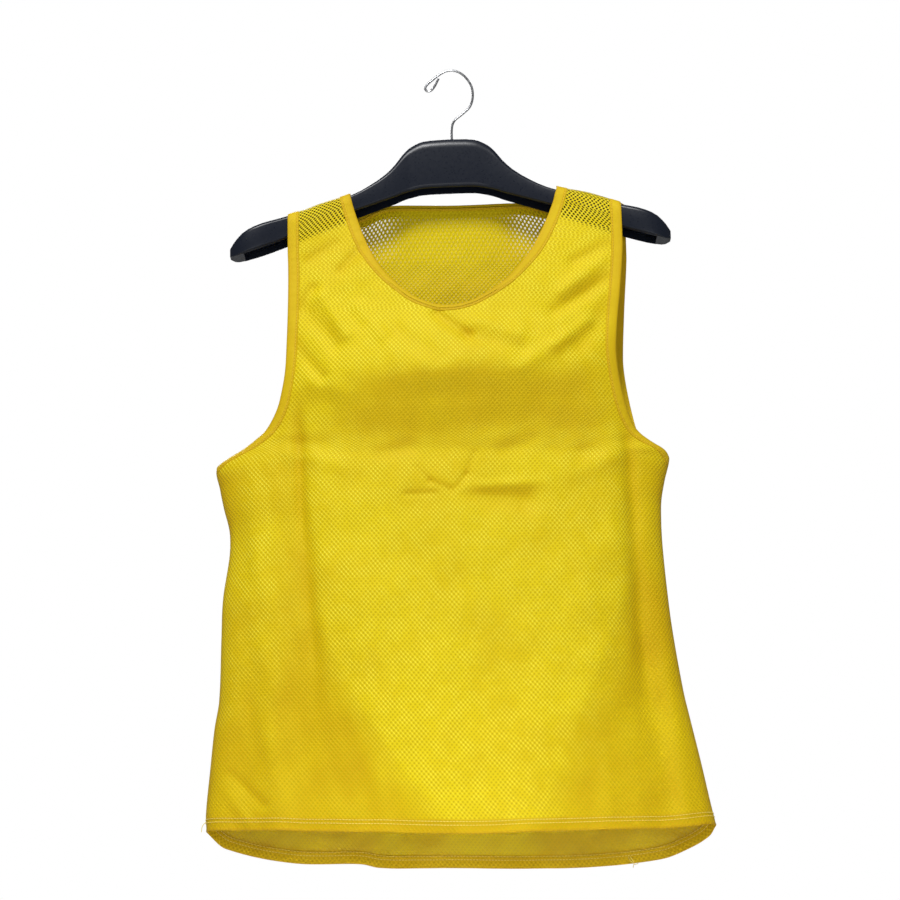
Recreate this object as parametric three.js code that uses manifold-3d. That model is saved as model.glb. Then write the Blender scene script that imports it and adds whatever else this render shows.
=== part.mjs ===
// A mesh training bib on a plastic hanger with a wire hook. Millimetres, +Z up, +Y to the back,
// +X to the viewer's right. The origin is the inside top of the hook's bend, where it hangs.
import * as THREE from "three";
import { mergeVertices } from "three/addons/utils/BufferGeometryUtils.js";
import Module from "manifold-3d";

const wasm = await Module();
wasm.setup();

// Cloth
const clothWall = 1.2;
const seamGap = 0.3;
const bindingWidth = 11;
const hemWidth = 12;
const armpitHeight = -413;
const acrossCells = 22;
const bodyCells = 15;
const edgeCrowding = 0.6;
const crownPower = 2.3;
const foldFade = 6;
const backArmholeOut = 4;
const armholeBlend = 60;
const cutMargin = 4;
const cutMarginBlend = 20;
const neckSteps = 26;
const armholeSteps = 20;
const mergeTolerance = 0.02;
const weldDistance = 1e-4;

// Hanger
const hangerCentre = -5;
const hangerTilt = 0.022;
const clothOverArm = 2.8;
const strapLift = 3.5;
const strapInner = 104;
const neckStand = { height: -128, reach: 62, blend: 14 };
const shoulderBlend = 90;
const shoulderHeight = -150;
const sectionSides = 14;
const wireSteps = 52;
const wireArcSteps = 4;
const wireDiameter = 3;
const shankDepth = 18;
const boreDepth = shankDepth + 1;
const boreSides = 12;

// The garment's two edges at each height: side seams below the armpits, front armhole edges above.
const edgeRows = [
  { z: -810, left: -251, right: 243 },
  { z: -768, left: -248.5, right: 234.5 },
  { z: -751, left: -249, right: 231 },
  { z: -709, left: -245, right: 223 },
  { z: -670, left: -241, right: 215 },
  { z: -642, left: -236.5, right: 209.5 },
  { z: -583, left: -234.5, right: 201.5 },
  { z: -544, left: -233, right: 198 },
  { z: -504, left: -227, right: 195.5 },
  { z: -489, left: -226, right: 195 },
  { z: -474, left: -227, right: 195 },
  { z: -454, left: -232, right: 196 },
  { z: -434, left: -236, right: 200 },
  { z: armpitHeight, left: -239, right: 205 },
  { z: -405, left: -227.7, right: 201 },
  { z: -397, left: -212.6, right: 188 },
  { z: -388, left: -199.4, right: 176.5 },
  { z: -379.5, left: -189, right: 171.5 },
  { z: -361, left: -178, right: 165.5 },
  { z: -342, left: -172.7, right: 162 },
  { z: -323, left: -169.4, right: 159.5 },
  { z: -304, left: -168, right: 158.5 },
  { z: -253, left: -166, right: 161.5 },
  { z: -195, left: -165.5, right: 165 },
  { z: -140, left: -167, right: 165 },
  { z: -60, left: -167, right: 165 },
];

// The height of the front's and the back's hem, from u -1 at the left seam to 1 at the right.
const hemRows = [
  { u: -1, front: -767.5, back: -767.5 },
  { u: -0.93, front: -768.5, back: -781.5 },
  { u: -0.67, front: -772, back: -793.5 },
  { u: -0.37, front: -776, back: -796.5 },
  { u: 0, front: -781, back: -801 },
  { u: 0.25, front: -780.5, back: -802.5 },
  { u: 0.5, front: -778.5, back: -802.5 },
  { u: 0.77, front: -776.5, back: -797 },
  { u: 0.88, front: -774.5, back: -791 },
  { u: 0.97, front: -771.5, back: -781 },
  { u: 1, front: -771, back: -771 },
];

// How far the cloth stands out at each height: at its middle and at its edges, and how round it is.
const depthRows = [
  { z: -810, frontMiddle: -62, backMiddle: 52, frontEdge: 0, backEdge: 0, edgePower: 0.5 },
  { z: -700, frontMiddle: -58, backMiddle: 48, frontEdge: 0, backEdge: 0, edgePower: 0.5 },
  { z: -560, frontMiddle: -51, backMiddle: 42, frontEdge: 0, backEdge: 0, edgePower: 0.5 },
  { z: -470, frontMiddle: -46, backMiddle: 38, frontEdge: 0, backEdge: 0, edgePower: 0.5 },
  { z: armpitHeight, frontMiddle: -43, backMiddle: 36, frontEdge: 0, backEdge: 0, edgePower: 0.5 },
  { z: -405, frontMiddle: -43, backMiddle: 35, frontEdge: -5, backEdge: 4, edgePower: 0.52 },
  { z: -388, frontMiddle: -44.5, backMiddle: 34, frontEdge: -14, backEdge: 11, edgePower: 0.6 },
  { z: -361, frontMiddle: -50.5, backMiddle: 32, frontEdge: -24, backEdge: 17, edgePower: 0.8 },
  { z: -332, frontMiddle: -53, backMiddle: 30, frontEdge: -28, backEdge: 19, edgePower: 0.85 },
  { z: -304, frontMiddle: -49, backMiddle: 28, frontEdge: -30, backEdge: 20, edgePower: 0.9 },
  { z: -250, frontMiddle: -38, backMiddle: 24, frontEdge: -30, backEdge: 19, edgePower: 0.9 },
  { z: -190, frontMiddle: -32, backMiddle: 20, frontEdge: -28, backEdge: 15, edgePower: 0.9 },
  { z: -60, frontMiddle: -30, backMiddle: 18, frontEdge: -27, backEdge: 12, edgePower: 0.9 },
];

// The largest folds: troughs pushed into the panel along a line, and ridges where depth is below 0.
const frontFolds = [
  { fromX: -130, fromZ: -398, toX: 140, toZ: -392, width: 24, depth: 2 },
  { fromX: -158, fromZ: -395, toX: -150, toZ: -500, width: 19, depth: 8 },
  { fromX: -150, fromZ: -500, toX: -134, toZ: -770, width: 22, depth: 9 },
  { fromX: 166, fromZ: -400, toX: 170, toZ: -560, width: 17, depth: 6 },
  { fromX: 170, fromZ: -560, toX: 178, toZ: -770, width: 20, depth: 8 },
  { fromX: -112, fromZ: -610, toX: -48, toZ: -790, width: 26, depth: 8 },
  { fromX: 148, fromZ: -600, toX: 92, toZ: -790, width: 26, depth: 7 },
  { fromX: 8, fromZ: -456, toX: 84, toZ: -462, width: 16, depth: 5 },
  { fromX: -60, fromZ: -326, toX: 90, toZ: -316, width: 24, depth: -2 },
];
const backFolds = [
  { fromX: -120, fromZ: -362, toX: 110, toZ: -374, width: 34, depth: 4 },
  { fromX: -150, fromZ: -420, toX: -138, toZ: -770, width: 22, depth: 8 },
  { fromX: 150, fromZ: -420, toX: 164, toZ: -770, width: 20, depth: 8 },
  { fromX: -92, fromZ: -190, toX: -30, toZ: -330, width: 22, depth: 4 },
  { fromX: 94, fromZ: -190, toX: 40, toZ: -320, width: 22, depth: 4 },
  { fromX: 20, fromZ: -560, toX: -30, toZ: -780, width: 26, depth: 7 },
];

// Neck edges: the deep front scoop and the almost straight back.
const frontNeck = [
  { x: -105, z: -140 },
  { x: -97.5, z: -166 },
  { x: -87.7, z: -194 },
  { x: -75, z: -219 },
  { x: -57.5, z: -239.5 },
  { x: -38, z: -254.5 },
  { x: -14, z: -262.5 },
  { x: 8, z: -260 },
  { x: 30, z: -249 },
  { x: 53, z: -231.5 },
  { x: 73, z: -206 },
  { x: 87, z: -179 },
  { x: 97, z: -155 },
  { x: 103, z: -137 },
];
const backNeck = [
  { x: -106, z: -144 },
  { x: -103, z: -150 },
  { x: -95, z: -150 },
  { x: -82, z: -143 },
  { x: -62, z: -138.5 },
  { x: 0, z: -139.5 },
  { x: 62, z: -138.5 },
  { x: 82, z: -141 },
  { x: 95, z: -144 },
  { x: 101, z: -145.5 },
  { x: 104, z: -140 },
];

// The hanger by distance from its middle: top and underside, half its depth, how far it bows forward,
// and how square its upper side is (2 is an ellipse).
const hangerRows = [
  { reach: 0, top: -76.5, under: -128, half: 13, bow: 0, square: 3 },
  { reach: 26, top: -78, under: -128.5, half: 13, bow: 0, square: 3 },
  { reach: 39, top: -82.5, under: -131, half: 13, bow: 0, square: 3 },
  { reach: 47, top: -90, under: -133.5, half: 13.5, bow: -0.5, square: 3 },
  { reach: 54, top: -99.5, under: -136.5, half: 14, bow: -0.8, square: 2.6 },
  { reach: 64, top: -110.5, under: -140, half: 14, bow: -1.2, square: 2.3 },
  { reach: 80, top: -122.5, under: -145.5, half: 14.5, bow: -1.8, square: 2 },
  { reach: 98, top: -132.5, under: -152, half: 15, bow: -2.8, square: 2 },
  { reach: 135, top: -146, under: -167, half: 15.5, bow: -5.5, square: 2 },
  { reach: 169, top: -157.5, under: -181.5, half: 16, bow: -9, square: 2 },
  { reach: 190, top: -164.5, under: -190.5, half: 16.5, bow: -12, square: 2 },
  { reach: 205, top: -172, under: -196.5, half: 14.5, bow: -14, square: 2 },
  { reach: 214, top: -180.5, under: -199.5, half: 11, bow: -15, square: 2 },
  { reach: 219.5, top: -190, under: -199, half: 5.5, bow: -15.5, square: 2 },
];
const sectionMiddle = 0.35;
const underSquare = 4;

// The hook's wire, from its shank in the hanger round the bend to its small closed eye.
const hookRoute = [
  { x: -1.4, z: -77.5 - shankDepth },
  { x: -1.4, z: -77.5 },
  { x: -1.2, z: -62 },
  { x: 1.6, z: -53.5 },
  { x: 10.3, z: -46 },
  { x: 17.6, z: -38.5 },
  { x: 20.8, z: -28 },
  { x: 19.6, z: -16 },
  { x: 12.8, z: -5 },
  { x: 3.5, z: 0.8 },
  { x: -5.5, z: 0.9 },
  { x: -14, z: -5 },
  { x: -20.5, z: -11 },
  { x: -25.6, z: -17 },
  { x: -24.8, z: -22 },
  { x: -20.6, z: -22.6 },
  { x: -17.6, z: -18 },
  { x: -15.6, z: -11.6 },
];

const meshMaterial = { color: 0xe0c523, roughness: 0.62, metalness: 0 };
const bindingMaterial = { color: 0xdcb327, roughness: 0.6, metalness: 0 };
const plasticMaterial = { color: 0x25282e, roughness: 0.35, metalness: 0 };
const wireMaterial = { color: 0xc9ccd0, roughness: 0.2, metalness: 1 };

const group = new THREE.Group();
const lerp = THREE.MathUtils.lerp;
const smooth = (value) => THREE.MathUtils.smoothstep(value, 0, 1);

// A column of a table at a value between its rows, on a smooth line through them.
function tableAt(rows, key, value, column) {
  const last = rows.length - 2;
  let row = 0;
  while (row < last && rows[row + 1][key] < value) row += 1;
  const a = rows[row];
  const b = rows[row + 1];
  const span = b[key] - a[key];
  const part = THREE.MathUtils.clamp((value - a[key]) / span, 0, 1);
  const slope = (left, right) => (right[column] - left[column]) / (right[key] - left[key]);
  const inSlope = row > 0 ? slope(rows[row - 1], b) : slope(a, b);
  const outSlope = row < last ? slope(a, rows[row + 2]) : slope(a, b);
  const square = part * part;
  const cube = square * part;
  return (2 * cube - 3 * square + 1) * a[column] + (cube - 2 * square + part) * span * inSlope
    + (3 * square - 2 * cube) * b[column] + (cube - square) * span * outSlope;
}

// The hanger's section at x.
function hangerAt(x) {
  const reach = Math.abs(x - hangerCentre);
  const lift = hangerTilt * (x - hangerCentre);
  const value = (column) => tableAt(hangerRows, "reach", reach, column);
  const top = value("top") + lift;
  const under = value("under") + lift;
  const middle = lerp(under, top, sectionMiddle);
  return { top, under, middle, half: value("half"), bow: value("bow"), square: value("square") };
}

// Where the cloth starts to turn over the arm: the arm's middle, and clear above the neck between the straps.
function turnHeight(x) {
  const onArm = smooth((Math.abs(x - hangerCentre) - neckStand.reach) / neckStand.blend);
  return lerp(neckStand.height, hangerAt(x).middle, onArm);
}

// The cloth's middle surface on its way over the arm, at an angle from level to the top.
function overArm(side, x, angle) {
  const arm = hangerAt(x);
  const reach = Math.max(Math.abs(x - hangerCentre), strapInner);
  const rise = (1 - sectionMiddle)
    * (tableAt(hangerRows, "reach", reach, "top") - tableAt(hangerRows, "reach", reach, "under"));
  const y = arm.bow + side.sign * (arm.half + clothOverArm) * Math.cos(angle);
  const z = turnHeight(x) + (rise + clothOverArm + strapLift) * Math.sin(angle);
  return new THREE.Vector3(x, y, z);
}

// How deep the folds push in at a place: each is deepest along its line and fades out round it.
function foldDepth(folds, x, z) {
  let depth = 0;
  for (const fold of folds) {
    const alongX = fold.toX - fold.fromX;
    const alongZ = fold.toZ - fold.fromZ;
    const part = ((x - fold.fromX) * alongX + (z - fold.fromZ) * alongZ) / (alongX ** 2 + alongZ ** 2);
    const near = THREE.MathUtils.clamp(part, 0, 1);
    const away = Math.hypot(x - fold.fromX - near * alongX, z - fold.fromZ - near * alongZ);
    depth += fold.depth * Math.exp(-((away / fold.width) ** 2));
  }
  return depth;
}

const front = {
  name: "front",
  sign: -1,
  folds: frontFolds,
  neck: frontNeck,
  rightArmholeOut: 0,
};
const back = {
  name: "back",
  sign: 1,
  folds: backFolds,
  neck: backNeck,
  rightArmholeOut: backArmholeOut,
};

// The edges of one side at a height.
function edgesAt(side, z) {
  const left = tableAt(edgeRows, "z", z, "left");
  const open = smooth((z - armpitHeight) / armholeBlend);
  const right = tableAt(edgeRows, "z", z, "right") + side.rightArmholeOut * open;
  return { left, right, middle: (left + right) / 2, half: (right - left) / 2 };
}

// The depth of the cloth's middle surface.
function clothDepth(side, x, z, u) {
  const value = (column) => tableAt(depthRows, "z", z, column);
  const inside = Math.min(1, Math.abs(u));
  const crown = (1 - inside ** crownPower) ** value("edgePower");
  const edge = value(`${side.name}Edge`);
  const fade = smooth((1 - inside) * foldFade);
  const hung = lerp(edge, value(`${side.name}Middle`), crown) - side.sign * fade * foldDepth(side.folds, x, z);
  const arm = hangerAt(x);
  const atArm = arm.bow + side.sign * (arm.half + clothOverArm);
  return lerp(atArm, hung, smooth((turnHeight(x) - z) / shoulderBlend));
}

// Heights of the rows above the armpits, closer together where the armhole runs outwards.
const chestHeights = [-405, -396, -385, -370, -350, -326, -300, -274, -248, -222, -196];
const overAngles = [0, 18, 36, 54, 72, 90].map(THREE.MathUtils.degToRad);

// The points of one side's cloth, row by row from the hem over the arm to the shoulder seam.
function clothGrid(side, seamShift) {
  const rows = [];
  const across = (j) => {
    const even = (2 * j) / acrossCells - 1;
    const crowded = -Math.cos((Math.PI * j) / acrossCells);
    return -side.sign * lerp(even, crowded, edgeCrowding);
  };
  const columns = Array.from({ length: acrossCells + 1 }, (_, j) => across(j));
  const point = (u, z, margin) => {
    const edges = edgesAt(side, z);
    const x = edges.middle + u * (edges.half + margin);
    const onSeam = Math.abs(u) > 1 - weldDistance && margin === 0;
    const y = onSeam ? (side.sign * seamGap) / 2 : clothDepth(side, x, z, (x - edges.middle) / edges.half);
    return new THREE.Vector3(x, y, z);
  };
  const hemAt = (u) => tableAt(hemRows, "u", u, side.name);
  rows.push(columns.map((u) => point(u, hemAt(u), 0)));
  for (let i = 0; i <= bodyCells; i += 1) {
    const height = (u) => lerp(hemAt(u) + hemWidth, armpitHeight, i / bodyCells);
    rows.push(columns.map((u) => point(u, height(u), 0)));
  }
  for (const z of chestHeights) {
    const margin = cutMargin * smooth((z - armpitHeight) / cutMarginBlend);
    rows.push(columns.map((u) => point(u, z, margin)));
  }
  for (const angle of overAngles) {
    rows.push(columns.map((u) => {
      const edges = edgesAt(side, shoulderHeight);
      return overArm(side, edges.middle + u * (edges.half + cutMargin), angle);
    }));
  }
  for (const last of rows[rows.length - 1]) last.y += side.sign * seamShift;
  return { rows, normals: gridNormals(rows, side) };
}

// Outward directions at the grid's points. At the side seams they lie level, at the shoulder seam upright.
function gridNormals(rows, side) {
  return rows.map((row, i) => row.map((point, j) => {
    const up = rows[Math.min(i + 1, rows.length - 1)][j].clone().sub(rows[Math.max(i - 1, 0)][j]);
    const along = row[Math.min(j + 1, row.length - 1)].clone().sub(row[Math.max(j - 1, 0)]);
    const atSeam = (j === 0 || j === row.length - 1) && i <= bodyCells + 1;
    if (atSeam) return new THREE.Vector3(j === 0 ? side.sign : -side.sign, 0, 0);
    if (i === rows.length - 1) return new THREE.Vector3(0, 0, 1);
    return along.cross(up).normalize();
  }));
}

// A closed wall between two distances from the grid's surface, over some of its rows.
function gridWall(grid, inner, outer, rowCount = grid.rows.length) {
  const width = grid.rows[0].length;
  const positions = [];
  for (const offset of [outer, inner]) {
    for (let i = 0; i < rowCount; i += 1) {
      for (let j = 0; j < width; j += 1) {
        const point = grid.rows[i][j].clone().addScaledVector(grid.normals[i][j], offset);
        positions.push(point.x, point.y, point.z);
      }
    }
  }
  const out = (i, j) => i * width + j;
  const inn = (i, j) => rowCount * width + i * width + j;
  const index = [];
  const quad = (a, b, c, d) => index.push(a, b, c, a, c, d);
  for (let i = 0; i < rowCount - 1; i += 1) {
    for (let j = 0; j < width - 1; j += 1) {
      quad(out(i, j), out(i, j + 1), out(i + 1, j + 1), out(i + 1, j));
      quad(inn(i, j), inn(i + 1, j), inn(i + 1, j + 1), inn(i, j + 1));
    }
    quad(out(i, 0), out(i + 1, 0), inn(i + 1, 0), inn(i, 0));
    quad(out(i + 1, width - 1), out(i, width - 1), inn(i, width - 1), inn(i + 1, width - 1));
  }
  const top = rowCount - 1;
  for (let j = 0; j < width - 1; j += 1) {
    quad(out(0, j + 1), out(0, j), inn(0, j), inn(0, j + 1));
    quad(out(top, j), out(top, j + 1), inn(top, j + 1), inn(top, j));
  }
  return indexedGeometry(positions, index);
}

function indexedGeometry(positions, index) {
  const geometry = new THREE.BufferGeometry();
  geometry.setAttribute("position", new THREE.Float32BufferAttribute(positions, 3));
  geometry.setIndex(index);
  return geometry;
}

// A closed mesh as a solid that can be cut and joined, and back.
function toSolid(geometry) {
  const bare = geometry.clone();
  bare.deleteAttribute("normal");
  bare.deleteAttribute("uv");
  const merged = mergeVertices(bare, weldDistance);
  const vertProperties = Float32Array.from(merged.attributes.position.array);
  const triVerts = Uint32Array.from(merged.index.array);
  return new wasm.Manifold(new wasm.Mesh({ numProp: 3, vertProperties, triVerts }));
}

function toGeometry(solid) {
  const mesh = solid.simplify(mergeTolerance).getMesh();
  return indexedGeometry(Array.from(mesh.vertProperties), Array.from(mesh.triVerts));
}

function addNode(name, geometry, material) {
  const mesh = new THREE.Mesh(geometry, new THREE.MeshStandardMaterial(material));
  mesh.geometry.computeVertexNormals();
  mesh.name = name;
  group.add(mesh);
}

// A line through points, moved sideways into the cloth.
function offsetLine(points, distance) {
  return points.map((point, i) => {
    const before = points[Math.max(i - 1, 0)];
    const after = points[Math.min(i + 1, points.length - 1)];
    const along = after.clone().sub(before).normalize();
    return new THREE.Vector2(point.x + along.y * distance, point.y - along.x * distance);
  });
}

// An outline in x and z as a block that runs right through both sides.
const blockDepth = 400;
const blockTop = 30;
const blockSide = 330;
function outlineBlock(points) {
  const geometry = new THREE.ExtrudeGeometry(new THREE.Shape(points), { depth: blockDepth, bevelEnabled: false });
  geometry.rotateX(Math.PI / 2);
  geometry.translate(0, blockDepth / 2, 0);
  return toSolid(geometry);
}

// The neck edge from left to right, with upright ends above the straps.
function neckLine(side, inset) {
  const points = side.neck.map((row) => new THREE.Vector2(row.x, row.z));
  const line = offsetLine(new THREE.SplineCurve(points).getPoints(neckSteps), inset);
  const first = line[0];
  const last = line[line.length - 1];
  return [new THREE.Vector2(first.x, blockTop), ...line, new THREE.Vector2(last.x, blockTop)];
}

// An armhole edge from the armpit up. Below its start the cut runs level past the side seam.
const armholeHeights = [armpitHeight, -405, -397, -388, -379.5, -361, -342, -323, -304, -253, -195, -140];
function armholeLine(side, hand, inset) {
  const turn = hand === "left" ? 1 : -1;
  const points = armholeHeights.map((z) => new THREE.Vector2(edgesAt(side, z)[hand], z));
  const line = offsetLine(new THREE.SplineCurve(points).getPoints(armholeSteps), inset * turn);
  const first = line[0];
  const last = line[line.length - 1];
  return [new THREE.Vector2(-turn * blockSide, first.y), ...line, new THREE.Vector2(last.x, blockTop)];
}

function armholeBlock(side, hand, inset) {
  const turn = hand === "left" ? 1 : -1;
  return outlineBlock([...armholeLine(side, hand, inset), new THREE.Vector2(-turn * blockSide, blockTop)]);
}

// What is left of a side's wall once the other side's half of the space is taken off below the shoulders.
const halfSpaceTop = -230;
function keepHalf(solid, side) {
  const box = new THREE.BoxGeometry(2 * blockSide, blockDepth, blockSide * 2);
  box.translate(0, -side.sign * (blockDepth / 2 - seamGap / 2), halfSpaceTop - blockSide);
  return solid.subtract(toSolid(box));
}

const halfWall = clothWall / 2;
const slotHalf = halfWall + seamGap;
const bindingHalf = slotHalf + clothWall;
const bindingBack = clothWall;
const panelInset = clothWall + seamGap;

// One panel: the wall of its side, cut out at the neck and the armholes.
function panel(side) {
  const wall = toSolid(gridWall(clothGrid(side, seamGap / 2), -halfWall, halfWall));
  const cut = wall
    .subtract(outlineBlock(neckLine(side, panelInset)))
    .subtract(armholeBlock(side, "left", panelInset))
    .subtract(armholeBlock(side, "right", panelInset));
  return keepHalf(cut, side);
}

// A binding wraps the panel's edge: a strip on both faces, joined round the edge, with a slot for the panel.
// It runs round the front and the back in one piece.
const seamOverlap = 0.5;
function binding(edgeLine, cutBlock) {
  const strips = [];
  const slots = [];
  for (const side of [front, back]) {
    const grid = clothGrid(side, side === front ? -seamOverlap : 0);
    const band = outlineBlock([...edgeLine(side, 0), ...edgeLine(side, bindingWidth).reverse()]);
    const slot = toSolid(gridWall(grid, -slotHalf, slotHalf)).subtract(cutBlock(side, bindingBack));
    strips.push(keepHalf(toSolid(gridWall(grid, -bindingHalf, bindingHalf)).intersect(band), side));
    slots.push(slot);
  }
  return strips[0].add(strips[1]).subtract(slots[0]).subtract(slots[1]);
}

function neckBinding() {
  return binding(neckLine, (side, inset) => outlineBlock(neckLine(side, inset)));
}

function armholeBinding(hand) {
  const edgeLine = (side, inset) => armholeLine(side, hand, inset);
  return binding(edgeLine, (side, inset) => armholeBlock(side, hand, inset));
}

// The hem's turned-up edge lies inside the panel, from its fold to its stitching.
function hemStrip(side) {
  return keepHalf(toSolid(gridWall(clothGrid(side, 0), -bindingHalf, -slotHalf, 2)), side);
}

// The hanger: sections along x, closed at both tips, with a bore for the hook's shank.
const armStations = [26, 34, 39, 43, 47, 54, 64, 80, 98, 116, 135, 152, 169, 182, 195, 204, 210, 215, 218, 219.5];
function hangerBody() {
  const stations = [...armStations.map((reach) => -reach).reverse(), 0, ...armStations];
  const positions = [];
  for (const reach of stations) {
    const x = hangerCentre + reach;
    const arm = hangerAt(x);
    for (let k = 0; k < sectionSides; k += 1) {
      const angle = (2 * Math.PI * k) / sectionSides;
      const square = Math.sin(angle) >= 0 ? arm.square : underSquare;
      const bend = (value) => Math.sign(value) * Math.abs(value) ** (2 / square);
      const height = Math.sin(angle) >= 0 ? arm.top - arm.middle : arm.middle - arm.under;
      positions.push(x, arm.bow + arm.half * bend(Math.cos(angle)), arm.middle + height * bend(Math.sin(angle)));
    }
  }
  const index = [];
  const at = (i, k) => i * sectionSides + (k % sectionSides);
  for (let i = 0; i < stations.length - 1; i += 1) {
    for (let k = 0; k < sectionSides; k += 1) {
      index.push(at(i, k), at(i, k + 1), at(i + 1, k + 1), at(i, k), at(i + 1, k + 1), at(i + 1, k));
    }
  }
  const lastStation = stations.length - 1;
  for (let k = 1; k < sectionSides - 1; k += 1) {
    index.push(at(0, 0), at(0, k + 1), at(0, k));
    index.push(at(lastStation, 0), at(lastStation, k), at(lastStation, k + 1));
  }
  const boreRadius = wireDiameter / 2 + seamGap;
  const bore = new THREE.CylinderGeometry(boreRadius, boreRadius, 2 * boreDepth, boreSides);
  bore.rotateX(Math.PI / 2);
  bore.translate(hookRoute[0].x, 0, hangerRows[0].top);
  return toSolid(indexedGeometry(positions, index)).subtract(toSolid(bore));
}

// The hook: round wire along its route.
function hookWire() {
  const route = new THREE.CatmullRomCurve3(hookRoute.map((row) => new THREE.Vector3(row.x, 0, row.z)));
  const section = new THREE.Shape();
  section.absarc(0, 0, wireDiameter / 2, 0, 2 * Math.PI);
  const options = { steps: wireSteps, curveSegments: wireArcSteps, bevelEnabled: false, extrudePath: route };
  return new THREE.ExtrudeGeometry(section, options);
}

addNode("front_panel", toGeometry(panel(front)), meshMaterial);
addNode("back_panel", toGeometry(panel(back)), meshMaterial);
addNode("neck_binding", toGeometry(neckBinding()), bindingMaterial);
addNode("armhole_binding_left", toGeometry(armholeBinding("left")), bindingMaterial);
addNode("armhole_binding_right", toGeometry(armholeBinding("right")), bindingMaterial);
addNode("front_hem", toGeometry(hemStrip(front)), meshMaterial);
addNode("back_hem", toGeometry(hemStrip(back)), meshMaterial);
addNode("hanger", toGeometry(hangerBody()), plasticMaterial);
addNode("hanger_hook", hookWire(), wireMaterial);

export default group;
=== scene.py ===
import math
from functools import partial

import bmesh
import bpy
import numpy as np
from mathutils import Matrix, Vector
from mathutils.bvhtree import BVHTree


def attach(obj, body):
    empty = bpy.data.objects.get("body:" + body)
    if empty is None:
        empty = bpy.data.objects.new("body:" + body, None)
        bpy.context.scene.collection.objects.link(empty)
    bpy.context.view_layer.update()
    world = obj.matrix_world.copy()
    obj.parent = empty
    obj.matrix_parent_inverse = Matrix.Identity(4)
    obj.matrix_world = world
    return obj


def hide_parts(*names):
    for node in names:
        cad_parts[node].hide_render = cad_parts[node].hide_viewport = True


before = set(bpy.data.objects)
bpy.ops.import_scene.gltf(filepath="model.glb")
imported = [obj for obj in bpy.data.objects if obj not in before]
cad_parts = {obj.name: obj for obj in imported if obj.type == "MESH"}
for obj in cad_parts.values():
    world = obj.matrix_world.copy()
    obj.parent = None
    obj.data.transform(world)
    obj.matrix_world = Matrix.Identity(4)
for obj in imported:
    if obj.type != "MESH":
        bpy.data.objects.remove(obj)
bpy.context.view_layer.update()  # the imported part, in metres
mm = 0.001  # the plans below are in millimetres

# Camera, from below the hem and a little rolled, as the garment is seen
cameraPlan = {"distance": 2500, "across": -9.8, "height": -1040.5, "pitch": 14.4, "roll": -1.2, "lens": 104.96}


def addCamera():
    bpy.ops.object.camera_add(location=(
        cameraPlan["across"] * mm, -cameraPlan["distance"] * mm, cameraPlan["height"] * mm))
    camera = bpy.context.object
    camera.name = "viewCamera"
    turn = Matrix.Rotation(math.radians(90 + cameraPlan["pitch"]), 3, "X")
    turn = turn @ Matrix.Rotation(math.radians(cameraPlan["roll"]), 3, "Z")
    camera.rotation_euler = turn.to_euler()
    camera.data.lens = cameraPlan["lens"]
    camera.data.sensor_width = 36
    camera.data.clip_end = 50
    bpy.context.scene.camera = camera


# Soft studio light: big soft boxes and an even pale surrounding
studioPlan = {
    "lights": [  # name, place, aim, size, watts, spread in degrees
        ("keyBox", (-0.6, -3.4, 3.6), (0, 0, -0.5), 1.2, 202, 180),
        ("fillBox", (0.2, -2.9, -0.4), (0, 0, -0.5), 1.0, 9, 180),
        ("lowBox", (0.15, -1.7, -1.08), (0, 0, -0.9), 0.3, 0.16, 22),
        ("topBox", (0.0, -0.5, 1.6), (0, 0, -0.3), 1.0, 1.5, 180),
        ("backBox", (-0.4, 2.2, 0.9), (0, 0, -0.5), 1.6, 34, 180),
    ],
    "surroundSeen": 1.0,
    "surroundLight": 0.17,
    "floorHeight": -1.25,
    "floorRadius": 4.5,
    "floorColour": (0.74, 0.74, 0.73, 1),
}


def addStudio():
    for name, place, aim, size, watts, spread in studioPlan["lights"]:
        bpy.ops.object.light_add(type="AREA", location=place)
        lamp = bpy.context.object
        lamp.name = name
        lamp.data.shape = "SQUARE"
        lamp.data.size = size
        lamp.data.energy = watts
        lamp.data.spread = math.radians(spread)
        lamp.rotation_euler = (Vector(aim) - Vector(place)).to_track_quat("-Z", "Y").to_euler()
    world = bpy.data.worlds.new("studioWorld")
    bpy.context.scene.world = world
    world.use_nodes = True
    background = world.node_tree.nodes["Background"]
    background.inputs["Color"].default_value = (1, 1, 1, 1)
    path = addNode(world.node_tree, "LightPath")
    strength = addNode(
        world.node_tree, "MapRange", {"To Min": studioPlan["surroundLight"], "To Max": studioPlan["surroundSeen"]})
    link = world.node_tree.links.new
    link(path.outputs["Is Camera Ray"], strength.inputs["Value"])
    link(strength.outputs["Result"], background.inputs["Strength"])
    bpy.ops.mesh.primitive_circle_add(
        vertices=96, radius=studioPlan["floorRadius"], fill_type="NGON", location=(0, 0, studioPlan["floorHeight"]))
    floor = bpy.context.object
    floor.name = "studioFloor"
    floorPaint = newMaterial("studioFloorPaint", {"Base Color": studioPlan["floorColour"], "Roughness": 0.8})[0]
    floor.data.materials.append(floorPaint)
    bpy.context.scene.view_settings.view_transform = "Standard"


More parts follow.
